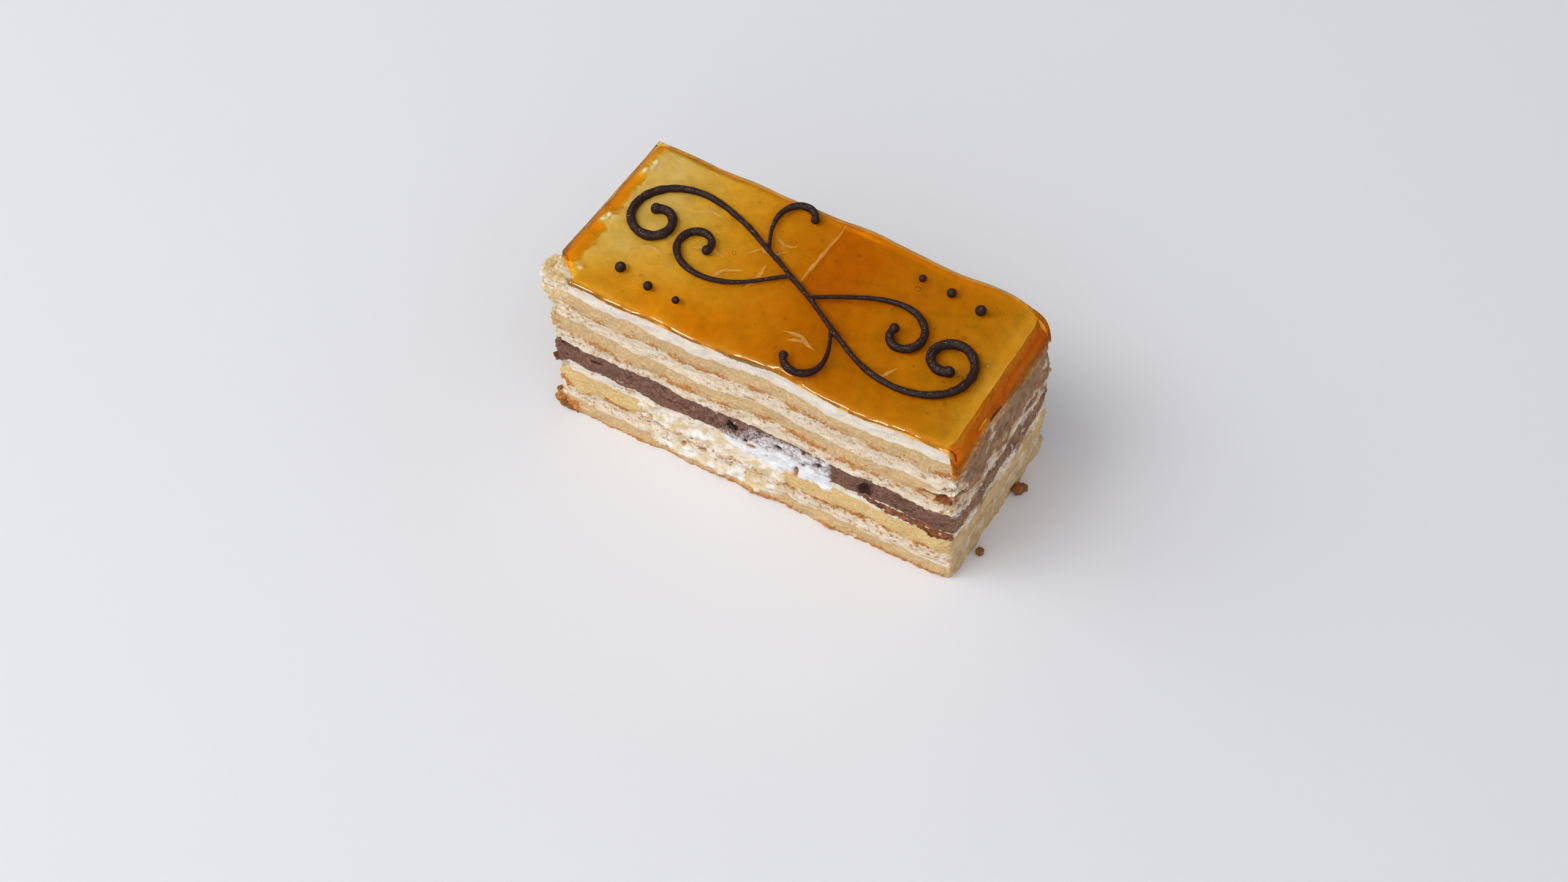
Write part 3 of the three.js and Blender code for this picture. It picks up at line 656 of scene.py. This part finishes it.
def stroke_path(stroke, way):
    """Points and radii of a stroke that curls up towards its end; way turns it half round."""
    steps = round(stroke["length"] / STEP)
    pen, heading, path = Vector(stroke["start"]), stroke["turn"], []
    for i in range(steps + 1):
        share = i / steps
        radius = stroke["thin"] + (stroke["thick"] - stroke["thin"]) * smooth(share, 0.15, 0.85)
        path.append((way * pen.x, way * pen.y, float(radius)))
        heading += stroke["curl"] * STEP * share ** stroke["ease"]
        pen += STEP * Vector((math.cos(heading), math.sin(heading)))
    return path


def in_glaze(x, y, depth):
    """A place below the top of the glaze, in metres; a negative depth is above it."""
    return Vector((x + CENTRE[0], y + CENTRE[1], float(glaze_height(x, y)) - depth)) * MM


def draw_lines(name, paths, radius, rings):
    """Round lines through lists of places, each with its own share of the radius, as one mesh."""
    line = bpy.data.curves.new(name, "CURVE")
    line.dimensions = "3D"
    line.bevel_depth = radius * MM
    line.bevel_resolution = rings
    line.use_fill_caps = True
    for path in paths:
        spline = line.splines.new("NURBS")
        spline.points.add(len(path) - 1)
        spline.use_endpoint_u = True
        spline.order_u = 4
        spline.resolution_u = 6
        for point, (place, share) in zip(spline.points, path):
            point.co = (*place, 1)
            point.radius = share
    strand = bpy.data.objects.new(name, line)
    bpy.context.collection.objects.link(strand)
    pick(strand)
    bpy.ops.object.convert(target="MESH")
    return bpy.context.object


def fuse(piece, passes):
    """Melts forms that overlap into one skin, and softens it."""
    pick(piece)
    melt = piece.modifiers.new("melt", "REMESH")
    melt.voxel_size = FUSE_GRAIN * MM
    bpy.ops.object.modifier_apply(modifier=melt.name)
    soften = piece.modifiers.new("soften", "SMOOTH")
    soften.iterations = passes
    bpy.ops.object.modifier_apply(modifier=soften.name)


strokes = [stroke_path(STEM, -1)[:0:-1] + stroke_path(STEM, 1)]
strokes += [stroke_path(curl, way) for curl in CURLS for way in (1, -1)]
balls = [strokes[0][0]] + [stroke[-1] for stroke in strokes]
balls = [(x, y, END_BALL * radius) for x, y, radius in balls]
balls += [(way * x, way * y, radius) for x, y, radius in PEARLS for way in (1, -1)]
piping = draw_lines("piping", [[
    (in_glaze(x, y, -STAND * radius), radius * (1 + PULSE * noise.noise((0.9 * i, x, y))))
    for i, (x, y, radius) in enumerate(stroke)
] for stroke in strokes], 1.0, 5)
pieces = [piping]
for x, y, radius in balls:
    bpy.ops.object.select_all(action="DESELECT")
    bpy.ops.mesh.primitive_uv_sphere_add(
        segments=24, ring_count=12, radius=radius * MM, location=in_glaze(x, y, -STAND * radius),
    )
    pieces.append(bpy.context.object)
pick(*pieces)
bpy.ops.object.join()
bpy.ops.object.transform_apply()
fuse(piping, 4)
bpy.ops.object.shade_smooth()
# The side of the piping that faces the ceiling lamp, where the painted glints go.
keep(piping, "lit_crown", smooth(normals_of(piping) @ (-0.25, -0.35, 0.9), 0.7, 1.0))

lifted = points_of(glaze)
upper = np.flatnonzero(normals_of(glaze)[:, 2] > 0.6)
beads = np.concatenate([np.array(stroke) for stroke in strokes] + [np.array(balls)])
gaps = np.hypot(lifted[upper, None, 0] - beads[:, 0], lifted[upper, None, 1] - beads[:, 1]) - beads[:, 2]
lifted[upper, 2] += WETTING * np.exp(-((np.maximum(gaps.min(1), 0) / WETTING_REACH) ** 2))
place_points(glaze, lifted)

# Dark chocolate, melted and set: nearly black and satin, with a fine grain. Pale specks are painted on the
# grain's peaks as glints, along the crown that faces the ceiling lamp; the grain is drawn coarser than the
# real one, so that it shows.
chocolate = new_material("piped_chocolate")
place = add(chocolate, "TexCoord", out="Object")
grain = add(chocolate, "TexNoise", {
    "Vector": place, "Scale": 1 / (0.3 * MM), "Detail": 2.0, "Roughness": 0.6,
})
tone = add(chocolate, "Mix", {0: grain, 6: linear("#1E0F0C"), 7: linear("#34201A")}, out=2, data_type="RGBA")
peaks = add(chocolate, "MapRange", {0: grain, 1: 0.58, 2: 0.72})
lit_crown = add(chocolate, "Attribute", out="Fac", attribute_name="lit_crown")
# Painted highlight: pale specks on the grain's peaks where the piping faces the lamp.
painted_glint = add(chocolate, "Math", {0: lit_crown, 1: peaks}, operation="MULTIPLY")
tone = add(chocolate, "Mix", {0: painted_glint, 6: tone, 7: linear("#9A8C88")}, out=2, data_type="RGBA")
bump = add(chocolate, "Bump", {"Height": grain, "Strength": 1.0, "Distance": 0.25 * MM})
shader = add(chocolate, "BsdfPrincipled", {
    "Base Color": tone, "Roughness": 0.2, "Specular IOR Level": 0.1, "Normal": bump,
})
add(chocolate, "OutputMaterial", {"Surface": shader})
piping.data.materials.append(chocolate)
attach(piping, "root")
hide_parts("caramel_glaze")

# Threads and bubbles: faint threads of cream that were drawn up into the glaze as it was poured, and air that
# stayed in it as it set. The bubbles are hollows in the glaze itself.
THREADS = [  # points along each thread
    [(-0.9, 1), (-0.8, 8), (-0.1, 15), (0.3, 22.5)], [(-17, 4), (-14, 7), (-11, 6), (-8, 8.5)],
    [(-13, 12), (-10, 10), (-7, 11)], [(3, -13), (7, -12.2), (11, -13.6)], [(5, -15), (8, -13.4), (12, -14)],
    [(-21, -8), (-19, -3), (-15, -1)], [(-12, -6), (-10.5, -1), (-11, 3)], [(-29, -2), (-25, 0.5), (-21, 0)],
    [(26, -13), (29, -11), (30.5, -8)], [(-34, 8), (-30, 10.5), (-27, 10)],
    [(-42, -9), (-38, -6), (-33, -6.5)],
]
THREAD_STEPS = 14
THREAD_RADIUS, THREAD_DEPTH = 0.65, 0.4
THREAD_FLAT = 0.25  # a thread lies flat: its height is this share of its width
THREAD_WANDER = 0.5
BUBBLES = [  # place and radius
    (23.5, 15, 0.8), (26.5, 13.8, 0.4), (40, 7.3, 0.5), (48.5, 3, 0.7), (44.5, -3, 0.65), (-9.8, 22, 0.6),
    (-10, 7.7, 0.6), (-9.5, 5.2, 0.4), (-19.5, 2.6, 0.5), (-24.5, -17, 0.6), (7.3, 15.8, 0.35),
    (20.8, 8, 0.35), (21.5, 6, 0.3), (26.5, 9, 0.35), (27, 5.3, 0.4), (-2.7, 15.5, 0.4), (45, -11.5, 0.35),
    (43, -16, 0.4), (4, -18, 0.35), (-35, -14.5, 0.4),
]
STRAYS = dict(count=60, along=(-40, 49), across=(-20, 21), radius=(0.14, 0.34))
BUBBLE_DEPTH = 1.1  # how many of its radii a bubble's middle lies below the top
rng = random.Random(5)


def lumps_mesh(name, lumps, detail, unevenness):
    """Small rounded lumps of given places and sizes as one mesh, each with its own uneven form."""
    bpy.ops.object.select_all(action="DESELECT")
    bpy.ops.mesh.primitive_ico_sphere_add(subdivisions=detail, radius=1)
    ball = bpy.context.object
    corners = np.array([vertex.co[:] for vertex in ball.data.vertices])
    faces = np.array([face.vertices[:] for face in ball.data.polygons])
    bpy.data.objects.remove(ball)
    points, sides = [], []
    for i, (place, size) in enumerate(lumps):
        away = Vector((3.7 * i, 0, 0))
        uneven = np.array([noise.fractal(Vector(corner) * 1.3 + away, 1.0, 2.0, 2) for corner in corners])
        points.append(np.array(place) + corners * (1 + unevenness * uneven)[:, None] * np.array(size) * MM)
        sides.append(faces + i * len(corners))
    mesh = bpy.data.meshes.new(name)
    mesh.from_pydata(np.concatenate(points).tolist(), [], np.concatenate(sides).tolist())
    piece = bpy.data.objects.new(name, mesh)
    bpy.context.collection.objects.link(piece)
    pick(piece)
    bpy.ops.object.shade_smooth()
    return piece


paths = []
for ends in THREADS:
    steps = np.linspace(0, 1, THREAD_STEPS)
    xs, ys = (np.interp(steps, np.linspace(0, 1, len(ends)), line) for line in zip(*ends))
    path = []
    for x, y, share in zip(xs, ys, steps):
        place = [c + THREAD_WANDER * noise.noise((x, y, seed)) for c, seed in ((x, 1), (y, 5))]
        thick = 0.1 + math.sin(math.pi * share) * (0.7 + noise.noise((2 * x, 2 * y, 3)))
        path.append((in_glaze(*place, THREAD_DEPTH), thick))
    paths.append(path)
threads = draw_lines("threads", paths, THREAD_RADIUS, 4)
x, y, z = points_of(threads).T
middle = glaze_height(x, y) - THREAD_DEPTH
place_points(threads, np.stack([x, y, middle + THREAD_FLAT * (z - middle)], 1))
bpy.ops.object.shade_smooth()

# Cream drawn thin: milky, without gloss of its own, and nearly see-through.
wisp = new_material("cream_wisp")
place = add(wisp, "TexCoord", out="Object")
cloud = add(wisp, "TexNoise", {"Vector": place, "Scale": 1 / (1.0 * MM), "Detail": 3.0, "Roughness": 0.6})
tone = add(wisp, "Mix", {0: cloud, 6: linear("#E8D2AE"), 7: linear("#F6EBD8")}, out=2, data_type="RGBA")
shader = add(wisp, "BsdfPrincipled", {"Base Color": tone, "Roughness": 0.7, "Alpha": 0.16})
add(wisp, "OutputMaterial", {"Surface": shader})
threads.data.materials.append(wisp)
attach(threads, "root")

spans = [STRAYS[name] for name in ("along", "across", "radius")]
strays = [tuple(rng.uniform(*span) for span in spans) for _ in range(STRAYS["count"])]
hollows = [(in_glaze(x, y, BUBBLE_DEPTH * r), (r, r, r)) for x, y, r in BUBBLES + strays]
bubbles = lumps_mesh("bubbles", hollows, 3, 0.0)
bubbles.data.flip_normals()
bubbles.data.materials.append(jelly)
pick(glaze, bubbles)
bpy.ops.object.join()

# Crumbs: cream and sponge torn loose at the front left corner, bits of sponge and crust that the knife left
# on the cut sides, and browned crumbs that fell at the foot of the slice.
OUTSIDE = 90  # well clear of the slice
TORN_FRONT = dict(count=170, along=(-57, -49.5), up=(41.5, 52), sink=0.2)  # lumps at the corner's front
TORN_TOP = dict(count=110, along=(-57, -50), across=(-25, -19), depth=1.7)  # and on it, below the glaze's top
TORN_SIZES, BIT_SIZES, FLAKE_SIZES = (0.35, 1.0), (0.18, 0.5), (0.15, 0.45)
CRUMB_SINK, CRAGGY = 0.1, 0.6  # how deep a crumb sits in the cut, and how uneven its form is
SIDES = [((0, -1), 52, 1.0), ((0, 1), 52, 0.7), ((-1, 0), 21, 0.4)]  # way, half reach and share of crumbs
BIT_BANDS = [  # from, to and how many at the front
    (28.5, 31.5, 45), (38, 43, 40), (5.5, 9.5, 45), (18, 20, 20), (43, 45, 25), (32, 34, 25),
]
FLAKE_BANDS = [(42, 44.5, 70), (31, 34, 70), (9, 11.5, 50), (29, 31, 25), (6, 9, 45)]
LOOSE = [  # place and radius
    (57.6, -12.2, 0.9, 1.05), (57.4, 8.4, 1.5, 1.6), (58.2, 9.8, 1.0, 1.1), (-55.6, -24.0, 1.5, 1.3),
    (-53.6, -24.6, 1.2, 1.5), (-51.6, -24.8, 0.9, 1.2), (-56, -23.2, 3.2, 1.0), (-50, -25.0, 0.5, 0.7),
]
depsgraph = bpy.context.evaluated_depsgraph_get()


def on_cut(along, z, sink, side=(0, -1)):
    """The place on a cut side at a distance along it and a height; side is the way it faces."""
    out = Vector((*side, 0))
    middle = Vector((along * abs(side[1]) + CENTRE[0], along * abs(side[0]) + CENTRE[1], z))
    hit, place, *_ = bpy.context.scene.ray_cast(depsgraph, middle * MM + out * OUTSIDE * MM, -out)
    return place - out * sink * MM if hit else None


def scatter(bands, sizes):
    """Small crumbs pressed into the cut front, back and left end within bands of height."""
    found = []
    for low, high, count in bands:
        for side, reach, share in SIDES:
            for _ in range(round(share * count)):
                size = rng.uniform(*sizes)
                place = on_cut(rng.uniform(-reach, reach), rng.uniform(low, high), CRUMB_SINK, side)
                found.append((place, (size, size, size * rng.uniform(0.6, 1.0))))
    return found


corner = []
for _ in range(TORN_FRONT["count"]):
    x, z = rng.uniform(*TORN_FRONT["along"]), rng.uniform(*TORN_FRONT["up"])
    size = rng.uniform(*TORN_SIZES)
    place = on_cut(x, z, TORN_FRONT["sink"])
    if place:
        corner.append((place, (size, 0.4 * size, size * rng.uniform(0.6, 1.1))))
for _ in range(TORN_TOP["count"]):
    x, y = rng.uniform(*TORN_TOP["along"]), rng.uniform(*TORN_TOP["across"])
    size = rng.uniform(*TORN_SIZES)
    corner.append((in_glaze(x, y, TORN_TOP["depth"]), (size, size, 0.6 * size)))
torn = lumps_mesh("torn_corner", corner, 3, CRAGGY)
fuse(torn, 1)
torn.vertex_groups.new(name="side").add(range(len(torn.data.vertices)), 1.0, "REPLACE")
press(torn, "CLOUDS", grain=0.8, depth=0.8, noise_depth=4)
keep(torn, "wiped", np.clip(0.4 + 0.9 * rough(points_of(torn), 1.5, 4.0), 0, 1))
bpy.ops.object.shade_smooth()
torn.data.materials.append(yellow)
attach(torn, "root")

bits = lumps_mesh("sponge_bits", scatter(BIT_BANDS, BIT_SIZES), 2, CRAGGY)
bits.data.materials.append(pale)
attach(bits, "root")

# The skin that browned in the oven, in flakes: the same dry crumb, golden and without pale pores.
golden = sponge_material("golden_crust", "#C0854A", "#D4A066", "#A2652E", "#B5763C", "#9A5A28")
flakes = lumps_mesh("crust_flakes", scatter(FLAKE_BANDS, FLAKE_SIZES), 2, CRAGGY)
flakes.data.materials.append(golden)
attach(flakes, "root")

# Crumbs from the edge of the sheet, which baked longest: dark brown, dry and coarse.
browned = sponge_material("browned_crumb", "#7A4A26", "#A06A38", "#4C2B15", "#8A5228", "#5E3418")
fallen = [(Vector((x + CENTRE[0], y + CENTRE[1], z)) * MM, (r, r, 0.9 * r)) for x, y, z, r in LOOSE]
crust = lumps_mesh("browned_crumbs", fallen, 4, 0.3)
place_points(crust, np.maximum(points_of(crust), (-math.inf, -math.inf, 0)))
crust.data.materials.append(browned)
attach(crust, "root")

# Stage: a pale matte floor, soft daylight from the left and the camera at the photograph's angle. Four lamps
# in a row give the broken line of light along the glaze's lip, and a dark card in the room keeps its top from
# turning pale.
CAMERA_PLACE = (199.6 + CENTRE[0], -347.3 + CENTRE[1], 577.5)
CAMERA_TURN = (-30.45, 55.66, -0.43)  # yaw, pitch and roll in degrees
CAMERA_LENS, CAMERA_SENSOR = 64.17, 36
LOOK_AT = (0, 0, 0.03)
STRIPS = (-0.68, -0.33, 0.0, 0.4)
ROOM = [  # way, how far round from and to, and the brightness at each
    ((-0.6, -0.78, 0.1), -0.6, 0.9, 1.07, 1.16),  # the side of the window
    ((-0.286, 0.486, 0.826), 0.6, 0.88, 1.0, 0.08),  # the dark card
    ((0.83, 0.49, 0.29), 0.55, 0.95, 1.0, 0.7),  # the dim side behind the right end
    ((0, 0, 1), -0.12, 0.0, 0.12, 1.0),  # the ground below the horizon
]
yaw, pitch, roll = (math.radians(angle) for angle in CAMERA_TURN)
ahead = Vector((math.sin(yaw) * math.cos(pitch), math.cos(yaw) * math.cos(pitch), -math.sin(pitch)))
level_right = Vector((math.cos(yaw), -math.sin(yaw), 0))
level_up = level_right.cross(ahead)
right = math.cos(roll) * level_right + math.sin(roll) * level_up
up = -math.sin(roll) * level_right + math.cos(roll) * level_up
bpy.ops.object.camera_add()
camera = bpy.context.object
camera.matrix_world = Matrix((right, up, -ahead)).transposed().to_4x4()
camera.location = [c * MM for c in CAMERA_PLACE]
camera.data.sensor_width = CAMERA_SENSOR
camera.data.lens = CAMERA_LENS
camera.data.clip_start = 0.01
bpy.context.scene.camera = camera

bpy.ops.object.select_all(action="DESELECT")
bpy.ops.mesh.primitive_plane_add(size=6)
floor = bpy.context.object
floor.name = "floor"

# Matte paint: a pale, even grey with hardly any sheen.
paint = new_material("matte_paint")
place = add(paint, "TexCoord", out="Object")
cloud = add(paint, "TexNoise", {"Vector": place, "Scale": 1 / (250.0 * MM), "Detail": 3.0, "Roughness": 0.6})
tone = add(paint, "Mix", {0: cloud, 6: linear("#E0E0E2"), 7: linear("#E4E4E6")}, out=2, data_type="RGBA")
shader = add(paint, "BsdfPrincipled", {"Base Color": tone, "Roughness": 0.7})
add(paint, "OutputMaterial", {"Surface": shader})
floor.data.materials.append(paint)
floor.visible_glossy = False


def soft_light(name, place, size, power, colour):
    bpy.ops.object.light_add(type="AREA", location=place)
    lamp = bpy.context.object
    lamp.name = name
    lamp.data.shape = "RECTANGLE"
    lamp.data.size, lamp.data.size_y = size
    lamp.data.energy = power
    lamp.data.color = linear(colour)[:3]
    lamp.rotation_euler = (Vector(LOOK_AT) - Vector(place)).to_track_quat("-Z", "Y").to_euler()
    return lamp


soft_light("window", (-1.1, -0.5, 0.95), (0.9, 0.9), 2.8, "#FFFAF2")
ceiling = soft_light("ceiling", (-0.36, -0.44, 1.11), (0.6, 0.6), 5.4, "#FFFFFF")
ceiling.visible_glossy = False
for i, along in enumerate(STRIPS):
    strip = soft_light(f"strip_{i}", (along, -0.61, 1.0), (0.25, 0.09), 5.6, "#FFFFFF")
    strip.visible_diffuse = strip.visible_transmission = False
world = bpy.data.worlds.new("room")
bpy.context.scene.world = world
world.use_nodes = True
sky = world.node_tree.nodes["Background"]
sky.inputs["Color"].default_value = linear("#EDEFF4")
around = add(world, "TexCoord", out="Generated")
strength = 1.0
for way, low, high, first, last in ROOM:
    lean = add(world, "VectorMath", {0: around, 1: way}, out="Value", operation="DOT_PRODUCT")
    light = add(world, "MapRange", {0: lean, 1: low, 2: high, 3: first, 4: last})
    strength = add(world, "Math", {0: strength, 1: light}, operation="MULTIPLY")
world.node_tree.links.new(strength, sky.inputs["Strength"])
bpy.context.scene.view_settings.view_transform = "Standard"
